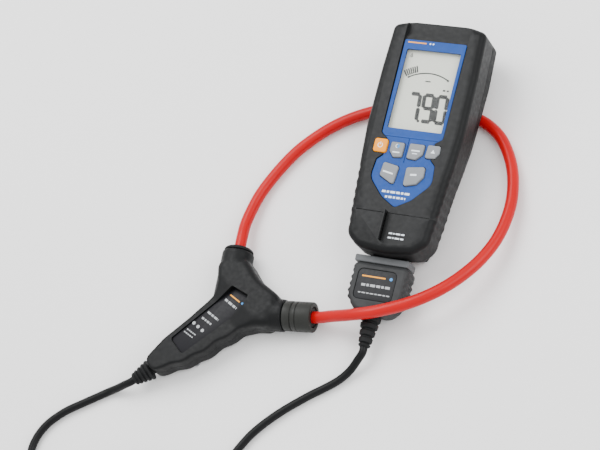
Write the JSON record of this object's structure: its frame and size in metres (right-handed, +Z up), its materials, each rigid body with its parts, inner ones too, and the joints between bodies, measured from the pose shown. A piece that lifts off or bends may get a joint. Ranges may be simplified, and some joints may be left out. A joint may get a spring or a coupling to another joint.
{
  "type": "flexible-coil clamp meter",
  "caption": "Hand-held meter with large display and six keys, plug-on adapter, lead, and a Y-shaped handle holding a red flexible coil closed by a locking collar.",
  "frame": {"origin": "on the supporting surface, under the hub of the Y-shaped handle where its two arms and grip meet", "axes": "+Z up from the supporting surface, +Y along the meter towards its display end, +X to the right of the meter seen from above"},
  "size_m": [0.2959, 0.3996, 0.0461],
  "materials": {
    "black_plastic": "satin",
    "black_rubber": "matte",
    "blue_plastic": "satin",
    "orange_rubber": "matte",
    "grey_rubber": "matte",
    "clear_window": "polished",
    "display": "satin",
    "white_plastic": "matte",
    "pink_rubber": "matte",
    "board": "satin",
    "component": "satin",
    "cell": "satin",
    "steel": "brushed",
    "grey_plastic": "satin",
    "light_grey_plastic": "satin",
    "red_sheath": "satin"
  },
  "bodies": {
    "instrument": {"battery_1": "cell", "battery_2": "cell", "battery_cover": "black_rubber", "battery_cover_screw": "steel", "battery_flat_contact": "steel", "battery_spring_contact": "steel", "bottom_socket": "component", "buzzer": "component", "case_screw_1": "steel", "case_screw_2": "steel", "case_screw_3": "steel", "case_screw_4": "steel", "coil_grommet": "black_rubber", "coil_socket": "component", "display_connector": "pink_rubber", "display_frame": "white_plastic", "display_glass": "display", "display_window": "clear_window", "faceplate": "blue_plastic", "flexible_coil": "red_sheath", "handle_board": "board", "handle_bottom_shell": "black_plastic", "handle_label": "black_rubber", "handle_screw_1": "steel", "handle_screw_2": "steel", "handle_screw_3": "steel", "handle_strain_relief": "black_rubber", "handle_top_shell": "black_plastic", "keypad_mat": "grey_rubber", "lead_adapter_end": "black_rubber", "lead_handle_end": "black_rubber", "lead_put_away_coil": "black_rubber", "lead_tie": "black_rubber", "main_board": "board", "meter_front_shell": "black_plastic", "meter_rear_shell": "black_rubber", "processor": "component"},
    "button_power_key": {"button_power": "orange_rubber"},
    "button_backlight_key": {"button_backlight": "grey_rubber"},
    "button_record_key": {"button_record": "grey_rubber"},
    "button_arrow_key": {"button_arrow": "grey_rubber"},
    "button_peak_key": {"button_peak": "grey_rubber"},
    "button_select_key": {"button_select": "grey_rubber"},
    "adapter": {"adapter_front_shell": "grey_plastic", "adapter_rear_shell": "grey_plastic", "adapter_screw_1": "steel", "adapter_screw_2": "steel", "adapter_label": "black_plastic", "adapter_neck": "light_grey_plastic", "adapter_plug": "component", "adapter_board": "board", "adapter_strain_relief": "black_rubber"},
    "collar": {"lock_collar": "black_rubber"},
    "plug": {"coil_plug": "black_rubber"}
  },
  "joints": [
    {"name": "button_power_press", "type": "slide", "parent": "instrument", "child": "button_power_key", "axis": [0, 0.0802, -0.9968], "range_m": [0, 0.0008], "stiffness_N_per_m": 300},
    {"name": "button_backlight_press", "type": "slide", "parent": "instrument", "child": "button_backlight_key", "axis": [0, 0.0802, -0.9968], "range_m": [0, 0.0008], "stiffness_N_per_m": 300},
    {"name": "button_record_press", "type": "slide", "parent": "instrument", "child": "button_record_key", "axis": [0, 0.0802, -0.9968], "range_m": [0, 0.0008], "stiffness_N_per_m": 300},
    {"name": "button_arrow_press", "type": "slide", "parent": "instrument", "child": "button_arrow_key", "axis": [0, 0.0802, -0.9968], "range_m": [0, 0.0008], "stiffness_N_per_m": 300},
    {"name": "button_peak_press", "type": "slide", "parent": "instrument", "child": "button_peak_key", "axis": [0, 0.0802, -0.9968], "range_m": [0, 0.0008], "stiffness_N_per_m": 300},
    {"name": "button_select_press", "type": "slide", "parent": "instrument", "child": "button_select_key", "axis": [0, 0.0802, -0.9968], "range_m": [0, 0.0008], "stiffness_N_per_m": 300},
    {"name": "collar_turn", "type": "hinge", "parent": "instrument", "child": "collar", "pos_m": [0.04973, 0.00523, 0.011], "axis": [0.9945, 0.1045, 0], "range_deg": [0, 45]},
    {"name": "coil_plug_pull", "type": "slide", "parent": "instrument", "child": "plug", "axis": [0.9945, 0.1045, 0], "range_m": [0, 0.016], "deforming": ["flexible_coil"]},
    {"name": "adapter_unplug", "type": "slide", "parent": "instrument", "child": "adapter", "axis": [0, -0.9968, -0.0802], "range_m": [0, 0.006], "deforming": ["lead_adapter_end"]}
  ]
}
